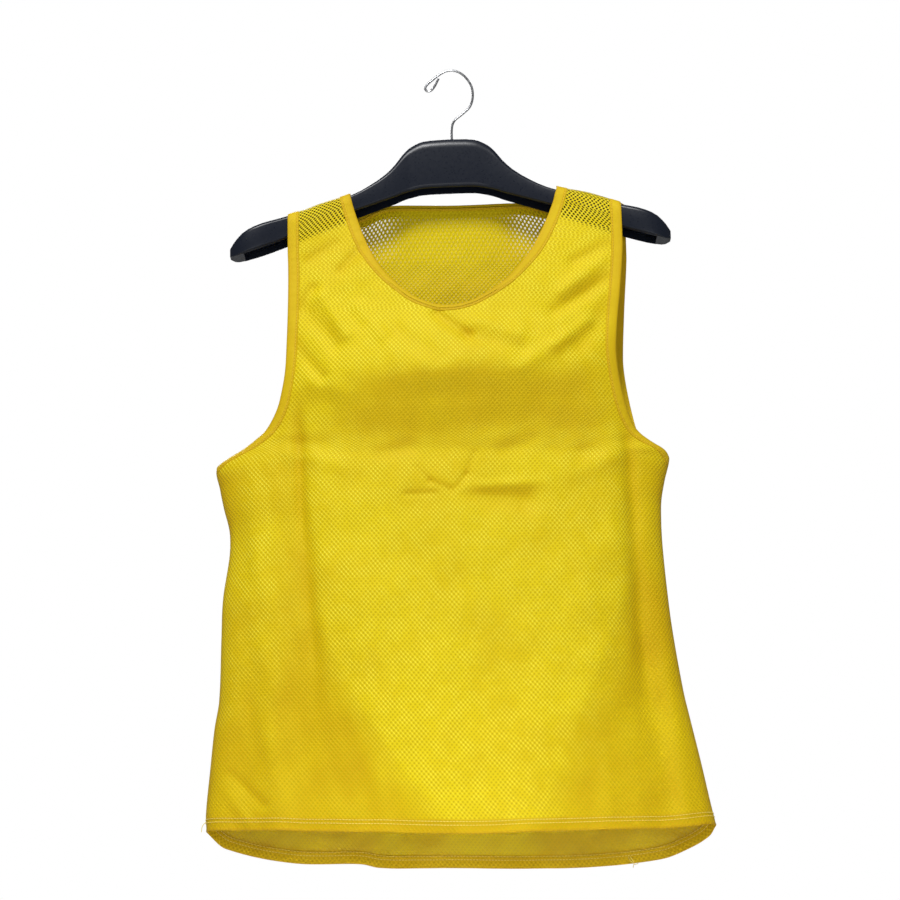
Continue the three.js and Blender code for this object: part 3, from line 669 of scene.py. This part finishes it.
def makeHem(name, skin, plan):
    line = hemLine(plan)
    reach = hemPlan["width"] + 1
    band = bandOn(skin, line, False, reach)
    pucker = hemPlan["pucker"] * ripple(line, False, 9, 0.4)
    first, second = hemPlan["rows"]
    shape = [  # way in, lift, how much it puckers, how much shade is painted in
        (1.8, 0.1, 0, 0.7), (0.8, 0.4, 0, 0.6), (-0.1, 0.3, 0, 0.7), (-0.55, -0.1, 0, 0.8), (-0.55, -0.6, 0, 0.8),
        (0, -1.0, 0, 0.5), (1.0, -1.25, 0.3, 0.2), (3.2, -1.2, 0.8, 0.1), (first - 1, -1.15, 0.8, 0.2),
        (first, -0.65, 0.2, 1), (first + 1, -1.15, 0.8, 0.2), (second - 0.9, -1.1, 0.8, 0.3), (second, -0.65, 0.2, 1),
        (second + 0.6, -0.95, 0.6, 0.4), (second + 1, -0.2, 0, 1)]
    rows = [bandAt(band, reach, way, hemPlan["lift"] * up - pucker * waves)[0] for way, up, waves, _ in shape]
    piece = stripMesh(name, rows, False, [row[3] for row in shape])
    stitches = []
    for way in hemPlan["rows"]:
        for side in (1, -1):
            spots, face = bandAt(band, reach, way, hemPlan["lift"] * (0.42 if side > 0 else -0.8))
            stitches.append((spots, face * side, False))
    return piece, stitches


# Thread: short rounded stitches lying along a line
stitchPlan = {"pitch": 3.0, "length": 2.5, "radius": 0.33, "sides": 6}


def makeStitches(name, lines):
    plan = stitchPlan
    sides = plan["sides"]
    # share of half the length, thickness, rise
    ends = np.array([(-1, 0.35, -0.5), (-0.72, 1, 0.1), (0, 1, 0.45), (0.72, 1, 0.1), (1, 0.35, -0.5)])
    turn = np.arange(sides) * 2 * math.pi / sides
    points, faces = [], []
    for line, face, closed in lines:
        whole = np.vstack([line, line[:1]]) if closed else line
        faceWhole = np.vstack([face, face[:1]]) if closed else face
        spots = evenly(np.hstack([whole, faceWhole]), plan["pitch"])
        if closed:
            spots = spots[:-1]
        middle, up = spots[:, :3], unit(spots[:, 3:])
        along = alongLine(middle, closed)
        across = unit(np.cross(up, along))
        for k in range(len(middle)):
            start = len(points)
            for way, thick, rise in ends:
                centre = middle[k] + along[k] * way * plan["length"] / 2 + up[k] * rise * plan["radius"]
                for angle in turn:
                    points.append(centre + plan["radius"] * thick * (
                        math.cos(angle) * across[k] + math.sin(angle) * up[k]))
            for ring in range(len(ends) - 1):
                for n in range(sides):
                    a, b = start + ring * sides + n, start + ring * sides + (n + 1) % sides
                    faces.append((a, b, b + sides, a + sides))
            faces.append(tuple(start + n for n in reversed(range(sides))))
            last = start + (len(ends) - 1) * sides
            faces.append(tuple(last + n for n in range(sides)))
    mesh = bpy.data.meshes.new(name)
    mesh.from_pydata((np.array(points) * mm).tolist(), [], faces)
    return addPiece(name, mesh)


# Hanger: a moulded arm, made along its length from ring to ring
hangerRing = {
    "topRound": 0.4,
    "underRound": 0.16,
    "stations": [219.5, 219, 217.5, 215, 211.5, 207, 201, 195, 187, 178, 169, 158, 146, 135, 122, 109, 98, 89, 80, 72,
                 64, 59, 54, 50, 47, 44, 41.5, 39, 35, 30, 26, 18, 9, 0],
    "recess": 8,
    "recessReach": 206,
    "rim": 1.7,
}


def onlySelect(piece):
    bpy.ops.object.select_all(action="DESELECT")
    piece.select_set(True)
    bpy.context.view_layer.objects.active = piece


def hollowUnder(piece, rim, reach, depth):  # pushes the flat underside up, inside a rim
    onlySelect(piece)
    bpy.ops.object.mode_set(mode="EDIT")
    bpy.ops.mesh.select_mode(type="FACE")
    bpy.ops.mesh.select_all(action="DESELECT")
    body = bmesh.from_edit_mesh(piece.data)
    body.normal_update()
    for f in body.faces:
        away = abs(f.calc_center_median().x / mm - hangerPlan["centre"])
        f.select = f.normal.z < -0.88 and away < reach
    bmesh.update_edit_mesh(piece.data)
    bpy.ops.mesh.inset(thickness=rim * mm, depth=0)
    bpy.ops.mesh.extrude_region_move(TRANSFORM_OT_translate={"value": (0, 0, depth * mm)})
    bpy.ops.object.mode_set(mode="OBJECT")


def makeArms():
    plan = hangerRing
    reaches = [-r for r in plan["stations"]] + plan["stations"][::-1][1:]
    sections = []
    for reach in reaches:
        x = hangerPlan["centre"] + reach
        top, under, _, half, bow = (float(v) for v in hangerAt(np.float64(x)))
        sections.append((x, (top + under) / 2, (top - under) / 2, half, bow))
    x, middle, high, half, bow = sections[0]
    bpy.ops.mesh.primitive_plane_add(size=2 * mm, location=(x * mm, bow * mm, middle * mm),
                                     rotation=(0, math.pi / 2, 0))
    piece = bpy.context.object
    piece.name = "hangerArms"
    bpy.ops.object.transform_apply()
    bpy.ops.object.mode_set(mode="EDIT")
    for corners, offset in ((1, plan["topRound"]), (-1, plan["underRound"])):
        bpy.ops.mesh.select_all(action="DESELECT")
        body = bmesh.from_edit_mesh(piece.data)
        for v in body.verts:
            v.select = abs(v.co.z / mm - middle - corners) < 0.01
        body.select_flush_mode()
        bpy.ops.mesh.bevel(offset=offset * mm, segments=7, affect="VERTICES", profile=0.5)
    bpy.ops.mesh.select_all(action="SELECT")
    bpy.ops.transform.resize(value=(1, half, high), center_override=(x * mm, bow * mm, middle * mm))
    for before, after in zip(sections[:-1], sections[1:]):
        step = [(after[0] - before[0]) * mm, (after[4] - before[4]) * mm, (after[1] - before[1]) * mm]
        bpy.ops.mesh.extrude_region_move(TRANSFORM_OT_translate={"value": step})
        bpy.ops.transform.resize(value=(1, after[3] / before[3], after[2] / before[2]),
                                 center_override=(after[0] * mm, after[4] * mm, after[1] * mm))
    bpy.ops.mesh.select_all(action="SELECT")
    bpy.ops.mesh.normals_make_consistent(inside=False)
    bpy.ops.object.mode_set(mode="OBJECT")
    hollowUnder(piece, plan["rim"], plan["recessReach"], plan["recess"])
    bpy.ops.object.shade_smooth_by_angle(angle=math.radians(40))
    return piece


# Collar: the small rim where the wire goes in
collarPlan = {"radius": 3.4, "depth": 2.6, "rise": 1.4, "roundEdge": 0.8}


def makeCollar():
    plan = collarPlan
    x, height = hookPlan["route"][1]
    bpy.ops.mesh.primitive_cylinder_add(vertices=32, radius=plan["radius"] * mm, depth=plan["depth"] * mm,
                                        location=(x * mm, 0, (height + plan["rise"]) * mm))
    piece = bpy.context.object
    piece.name = "hookCollar"
    bpy.ops.object.transform_apply()
    bevel = piece.modifiers.new("edge", "BEVEL")
    bevel.width = plan["roundEdge"] * mm
    bevel.segments = 3
    bpy.ops.object.modifier_apply(modifier=bevel.name)
    bpy.ops.object.shade_smooth_by_angle(angle=math.radians(40))
    return piece


# Hook: bent wire with a small closed eye at its end
hookPlan = {
    "radius": 1.25,
    "route": [  # across, height
        (-1.4, -94), (-1.4, -77.5), (-1.2, -62), (1.6, -53.5), (10.3, -46), (17.6, -38.5), (20.8, -28), (19.6, -16),
        (12.8, -5), (3.5, 0.8), (-5.5, 0.9), (-13.6, -3.6), (-20, -8.8), (-25.6, -13.8), (-27.4, -18), (-25, -20.8),
        (-21, -19.6), (-17.4, -14.8), (-14.9, -9.6), (-13.6, -7.2)],
}


def wireAlong(name, route, radius):
    line = splineThrough(route, radius)
    bpy.ops.curve.primitive_nurbs_path_add()
    piece = bpy.context.object
    piece.name = name
    piece.data.splines.clear()
    spline = piece.data.splines.new("POLY")
    spline.points.add(len(line) - 1)
    for point, place in zip(spline.points, line):
        point.co = (*(place * mm), 1)
    piece.data.bevel_depth = radius * mm
    piece.data.bevel_resolution = 4
    piece.data.use_fill_caps = True
    bpy.ops.object.convert(target="MESH")
    piece = bpy.context.object
    bpy.ops.object.transform_apply()
    bpy.ops.object.shade_smooth_by_angle(angle=math.radians(45))
    return piece


# Seams: the panels' joined edges over the shoulders and down the inside of the sides
seamPlan = {
    "left": (-162, -114),
    "right": (112, 159),
    "ridge": [(-1, 2.2, 0.1, 0.6), (-1, 1.2, 0.45, 0.3), (0, 0, 0.75, 0), (1, 1.2, 0.8, 0.3), (1, 4.5, 0.7, 0.2),
              (1, 5.6, 0.1, 0.7)],  # front or back, way down from the top, lift, how much shade is painted in
    "stitchDown": 3.6,
    "allowance": [(0.5, 0.2), (3.5, 1), (6.5, 1.4), (6.7, -1.2), (3.5, -1.2), (0.5, -0.2)],  # way in, way forward
    "tailRadius": 0.3,
    "tails": [  # ends of sewing thread left hanging
        [(152, 22, -797), (153.5, 18, -801), (158, 16, -805), (161, 17, -804)],
        [(154, 22, -797), (157, 19, -803), (156, 17, -808)],
        [(-247.5, 0, -757), (-252, -1, -762), (-253, -2, -768)]],
}


def onShoulder(x, side, down, lift):
    plan = frontPlan if side < 0 else backPlan
    spots = clothAt(plan, x, turnHeight(x) + overLength(x) - down)
    return spots + np.array([0, side * lift * 0.4, lift])


def makeShoulderSeam(hand):
    x = np.linspace(*seamPlan[hand], 26)
    rows = [onShoulder(x, side, down, lift) for side, down, lift, _ in seamPlan["ridge"]]
    piece = stripMesh(hand + "ShoulderSeam", rows, False, [row[3] for row in seamPlan["ridge"]])
    line = onShoulder(x, 1, seamPlan["stitchDown"], 0.9)
    return piece, (line, np.tile([0, 0.6, 0.8], (len(line), 1)), False)


def makeAllowance(hand):
    sign = -1 if hand == "left" else 1
    heights = np.linspace(float(hemAt(frontPlan, np.float64(sign))) + 3, bibPlan["armpit"] - 3, 130)
    mid, half = edgesAt(frontPlan, heights)
    rows = []
    for inward, forward in seamPlan["allowance"]:
        wave = inward / 7 * (0.8 * np.sin(heights / 11) + 0.5 * np.sin(heights / 6.1 + 1))
        rows.append(np.stack([mid + sign * (half - inward), -forward + wave, heights], -1))
    # painted shade at the allowance's fold and at its edges
    return stripMesh(hand + "SideAllowance", rows, False, [0.7, 0.4, 0.8, 0.8, 0.4, 0.7])


# Materials: a node for each step, and node groups for the knit and the change of tone, which also carries the painted
# shade
def newGroup(name, inputs, outputs):  # each input's kind follows from its value, None is a vector
    tree = bpy.data.node_groups.new(name, "ShaderNodeTree")
    for label, value in inputs.items():
        kind = "Vector" if value is None else "Color" if isinstance(value, tuple) else "Float"
        socket = tree.interface.new_socket(label, in_out="INPUT", socket_type="NodeSocket" + kind)
        if value is not None:
            socket.default_value = value
    for label in outputs:
        kind = "Color" if label == "Color" else "Float"
        tree.interface.new_socket(label, in_out="OUTPUT", socket_type="NodeSocket" + kind)
    return tree, tree.nodes.new("NodeGroupInput").outputs, tree.nodes.new("NodeGroupOutput").inputs


sums = {"*": "MULTIPLY", "+": "ADD", "-": "SUBTRACT", "/": "DIVIDE"}


def maths(tree, kind, *values):
    node = tree.nodes.new("ShaderNodeMath")
    node.operation = sums.get(kind, kind)
    for socket, value in zip(node.inputs, values):
        if isinstance(value, (int, float)):
            socket.default_value = value
        else:
            tree.links.new(value, socket)
    return node.outputs[0]


def setInputs(node, values):
    for label, value in values.items():
        node.inputs[label].default_value = value
    return node


def addNode(tree, kind, values=None):
    return setInputs(tree.nodes.new("ShaderNode" + kind), values or {})


def addNoise(tree, vector, values):
    noise = addNode(tree, "TexNoise", values)
    tree.links.new(vector, noise.inputs["Vector"])
    return noise


def softRange(tree, value, start, end):  # 0 before the start, 1 after the end
    node = addNode(tree, "MapRange", {"From Min": start, "From Max": end})
    node.interpolation_type = "SMOOTHSTEP"
    tree.links.new(value, node.inputs["Value"])
    return node.outputs["Result"]


def knitGroup():  # rows of small oval holes, every other row moved by half a hole
    tree, given, result = newGroup(
        "knitHoles", {"Vector": None, "Open": 0.0, "Column": 0.0043, "Row": 0.0025, "Hole": 0.0016, "Veil": 0.92},
        ["Cover", "Thread", "Loop", "Height"])
    calc, link = partial(maths, tree), tree.links.new
    split = addNode(tree, "SeparateXYZ")
    link(given["Vector"], split.inputs[0])
    down = calc("/", split.outputs["Y"], given["Row"])
    odd = calc("*", calc("MODULO", calc("FLOOR", down), 2.0), 0.5)
    along = calc("+", calc("/", split.outputs["X"], given["Column"]), odd)
    x = calc("*", calc("-", calc("FRACT", along), 0.5), given["Column"])
    y = calc("*", calc("-", calc("FRACT", down), 0.5), given["Row"])
    beside = calc("/", calc("ABSOLUTE", calc("+", x, calc("*", y, 0.5))), given["Column"])
    inRow = softRange(tree, calc("/", calc("ABSOLUTE", y), given["Row"]), 0.46, 0.3)
    loop = calc("*", softRange(tree, beside, 0.28, 0.44), inRow)  # a slanted stitch between the holes
    uneven = addNoise(tree, given["Vector"], {"Scale": 70, "Detail": 3})
    loop = calc("*", loop, calc("+", softRange(tree, uneven.outputs["Fac"], 0.35, 0.65), 0.25))
    link(loop, result["Loop"])
    size = calc("*", given["Hole"], calc("+", calc("*", given["Open"], 0.29), 1.0))
    x = calc("/", x, size)
    y = calc("/", calc("*", y, 1.04), size)
    away = calc("SQRT", calc("+", calc("*", x, x), calc("*", y, y)))
    thread = softRange(tree, away, 0.32, 0.68)
    veil = calc("*", given["Veil"], calc("-", 1.0, given["Open"]))
    bare = calc("*", calc("-", 1.0, thread), calc("-", 1.0, veil))
    link(calc("-", 1.0, bare), result["Cover"])
    link(thread, result["Thread"])
    rim = softRange(tree, away, 0.4, 1.05)
    link(calc("+", rim, calc("*", loop, 0.5)), result["Height"])
    return tree


def addMix(tree, values=None):  # mixes the colours A and B
    mix = addNode(tree, "Mix")
    mix.data_type = "RGBA"
    return setInputs(mix, values or {})


def toneGroup():  # slow change of tone over a surface, a fine grain, and painted shade that pulls the colour toward the deep one
    tree, given, result = newGroup(
        "clothTone", {"Vector": None, "Size": 14.0, "Grain": 900.0, "PaintedShadeLevel": 0.0, "Light": (1, 1, 1, 1),
                      "Deep": (0, 0, 0, 1)}, ["Color", "Grain"])
    calc, link = partial(maths, tree), tree.links.new
    slow = addNoise(tree, given["Vector"], {"Detail": 3})
    fine = addNoise(tree, given["Vector"], {"Detail": 1})
    link(given["Size"], slow.inputs["Scale"])
    link(given["Grain"], fine.inputs["Scale"])
    both = calc("+", calc("*", slow.outputs["Fac"], 0.8), calc("*", fine.outputs["Fac"], 0.2))
    spread = addNode(tree, "MapRange", {"From Min": 0.36, "From Max": 0.64})
    link(both, spread.inputs["Value"])
    mix = addMix(tree)
    # painted shade from the cloth moves the colour toward the deep one
    level = calc("-", calc("*", spread.outputs["Result"], 0.45), given["PaintedShadeLevel"])
    link(calc("+", level, 0.55), mix.inputs["Factor"])
    link(given["Deep"], mix.inputs["A"])
    link(given["Light"], mix.inputs["B"])
    link(mix.outputs["Result"], result["Color"])
    link(fine.outputs["Fac"], result["Grain"])
    return tree


def newMaterial(name, values):
    material = bpy.data.materials.new(name)
    material.use_nodes = True
    return material, material.node_tree, setInputs(material.node_tree.nodes["Principled BSDF"], values)


def addGroup(tree, group, vector, values):
    node = tree.nodes.new("ShaderNodeGroup")
    node.node_tree = group
    tree.links.new(vector, node.inputs["Vector"])
    return setInputs(node, values)


def readAttribute(tree, name):
    node = addNode(tree, "Attribute")
    node.attribute_name = name
    return node.outputs["Fac"]


def clothMaterial(name, light, deep, shade, loopHighlight, veil):
    material, tree, shader = newMaterial(
        name, {"Roughness": 0.5, "Specular IOR Level": 0.42, "Specular Tint": (1, 0.84, 0.26, 1)})
    calc, link = partial(maths, tree), tree.links.new
    place = addNode(tree, "UVMap")
    place.uv_map = "clothUv"
    body = addNode(tree, "TexCoord")
    tone = addGroup(tree, groups["tone"], body.outputs["Object"],
                    {"Size": 11, "Grain": 1400, "Light": light, "Deep": deep})
    # the painted shade, read from the cloth
    shadeLevel = readAttribute(tree, "paintedShade")
    link(shadeLevel, tone.inputs["PaintedShadeLevel"])
    if veil is None:  # a close knit with no real holes
        knit = addGroup(tree, groups["knit"], place.outputs["UV"],
                        {"Column": 0.0012, "Row": 0.0009, "Hole": 0.0006, "Veil": 1})
        bump = addNode(tree, "Bump", {"Strength": 0.6, "Distance": 0.00015})
    else:
        knit = addGroup(tree, groups["knit"], place.outputs["UV"], {"Veil": veil})
        link(readAttribute(tree, "pulledOpen"), knit.inputs["Open"])
        link(knit.outputs["Cover"], shader.inputs["Alpha"])
        bump = addNode(tree, "Bump", {"Strength": 0.6, "Distance": 0.0005})
    # the painted highlight on the loops shows on the right side, and fades where shade is painted into folds; the
    # holes take a painted shade, less of it on the inner side
    inner = addNode(tree, "NewGeometry").outputs["Backfacing"]
    mix = addMix(tree, {"A": shade})
    within = calc("*", inner, 0.6)
    link(calc("MAXIMUM", knit.outputs["Thread"], within), mix.inputs["Factor"])
    lit = addMix(tree, {"B": loopHighlight})
    outer = calc("-", 1.0, inner)
    plain = calc("MAXIMUM", calc("-", 0.62, calc("*", shadeLevel, 1.3)), 0.0)
    link(calc("*", calc("*", knit.outputs["Loop"], plain), outer), lit.inputs["Factor"])
    link(tone.outputs["Color"], lit.inputs["A"])
    link(lit.outputs["Result"], mix.inputs["B"])
    link(mix.outputs["Result"], shader.inputs["Base Color"])
    link(knit.outputs["Height"], bump.inputs["Height"])
    link(bump.outputs["Normal"], shader.inputs["Normal"])
    return material


def hardMaterial(name, roughness, values):  # plastic or metal with fine handling marks
    material, tree, shader = newMaterial(name, values)
    body = addNode(tree, "TexCoord")
    marks = addGroup(tree, groups["tone"], body.outputs["Object"], {"Size": 60, "Grain": 420})
    low, high = roughness
    level = addNode(tree, "MapRange", {"From Min": 0.3, "From Max": 0.7, "To Min": low, "To Max": high})
    tree.links.new(marks.outputs["Grain"], level.inputs["Value"])
    tree.links.new(level.outputs["Result"], shader.inputs["Roughness"])
    return material


def paint(material, slot, pieces, *replaced):
    for piece in pieces:
        piece.data.materials.clear()
        piece.data.materials.append(material)
        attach(piece, "root")
        if replaced:
            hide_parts(*replaced)


addCamera()
addStudio()
print("camera and studio ready")

groups = {"knit": knitGroup(), "tone": toneGroup()}
# each cloth: its light and deep colour, where the deep one also takes the painted shade, the painted shade in its
# holes, the painted highlight on its loops, and how closed the holes are
yellowMesh = clothMaterial(
    "yellowMesh", (0.83, 0.65, 0.004, 1), (0.7, 0.45, 0.003, 1), (0.68, 0.49, 0.003, 1), (1, 0.87, 0.06, 1), 0.94)
# a darker, more orange copy of the knit for the hems, seams and side allowances: painted shade
shadedYellowKnit = clothMaterial(
    "shadedYellowKnit", (0.76, 0.52, 0.005, 1), (0.64, 0.38, 0.004, 1), (0.58, 0.36, 0.002, 1), (0.95, 0.72, 0.03, 1), 0.97)
yellowBinding = clothMaterial(
    "yellowBinding", (0.84, 0.61, 0.01, 1), (0.6, 0.34, 0.006, 1), (0.7, 0.46, 0.006, 1), (0.9, 0.68, 0.02, 1), None)
yellowThread = newMaterial("yellowThread", {"Base Color": (0.95, 0.78, 0.16, 1), "Roughness": 0.4})[0]
orangeThread = newMaterial("orangeThread", {"Base Color": (0.86, 0.6, 0.02, 1), "Roughness": 0.45})[0]
blackPlastic = hardMaterial(
    "blackPlastic", (0.27, 0.32), {"Base Color": (0.008, 0.011, 0.02, 1), "Specular IOR Level": 0.26})
brightWire = hardMaterial("brightWire", (0.16, 0.32), {"Base Color": (0.5, 0.51, 0.53, 1), "Metallic": 1.0})
print("materials ready")

front = clothMesh("frontCloth", frontPlan)
back = clothMesh("backCloth", backPlan)
paint(yellowMesh, "mesh_cloth", [front], "front_panel", "front_hem")
paint(yellowMesh, "mesh_cloth", [back], "back_panel", "back_hem")
print("cloth ready")

skin = skinOf(front, back)
threadLines = {"tape": [], "front": [], "back": []}


def ringOf(frontChart, backChart):
    frontLine = clothAt(frontPlan, frontChart[:, 0], frontChart[:, 1])
    backLine = clothAt(backPlan, backChart[:, 0], backChart[:, 1])
    return closedLine(np.vstack([frontLine[:-1], backLine[::-1][:-1]]), bindingPlan["step"])


neckRing = ringOf(neckChart(frontPlan), neckChart(backPlan))
height, run = bindingPlan["frontFrom"]
down = smoothStep((height - neckRing[:, 2]) / run) * (neckRing[:, 1] < 0)
depth, way, height, run = bindingPlan["backFrom"]
behind = smoothStep((neckRing[:, 1] - depth) / way) * smoothStep((height - neckRing[:, 2]) / run)
wide = bindingPlan["width"]
legs = [smoothed(wide + (atFront - wide) * down + (atBack - wide) * behind, 10, True)
        for atFront, atBack in zip(bindingPlan["atFront"], bindingPlan["atBack"])]
rings = [("neckTape", "neck_binding", neckRing, legs)]
for hand in ("left", "right"):
    ring = ringOf(armholeChart(frontPlan, hand), armholeChart(backPlan, hand))
    rings.append((hand + "ArmTape", "armhole_binding_" + hand, ring, [np.full(len(ring), wide)] * 2))
for name, replaced, ring, legs in rings:
    tape, lines = makeBinding(name, skin, ring, legs)
    threadLines["tape"] += lines
    paint(yellowBinding, "binding_cloth", [tape], replaced)
hems = []
for name, plan in (("front", frontPlan), ("back", backPlan)):
    hem, lines = makeHem(name + "TurnedHem", skin, plan)
    threadLines[name] += lines
    hems.append(hem)
paint(shadedYellowKnit, "mesh_cloth", hems)
print("bindings and hems ready")

seams = []
for hand in ("left", "right"):
    seam, line = makeShoulderSeam(hand)
    threadLines["back"].append(line)
    seams += [seam, makeAllowance(hand)]
tails = [wireAlong("threadTail" + str(k + 1), route, seamPlan["tailRadius"])
         for k, route in enumerate(seamPlan["tails"])]
paint(shadedYellowKnit, "mesh_cloth", seams)
paint(yellowThread, "binding_cloth", tails)
print("seams ready")

tapeStitches, frontStitches, backStitches = (
    makeStitches(where + "Stitches", threadLines[where]) for where in ("tape", "front", "back"))
paint(orangeThread, "binding_cloth", [tapeStitches])
paint(yellowThread, "binding_cloth", [frontStitches, backStitches])
print("stitches ready")

arms = makeArms()
collar = makeCollar()
paint(blackPlastic, "hanger_plastic", [arms, collar], "hanger")
wire = wireAlong("hookWire", [(x, 0, height) for x, height in hookPlan["route"]], hookPlan["radius"])
paint(brightWire, "hook_wire", [wire], "hanger_hook")
print("hanger ready")
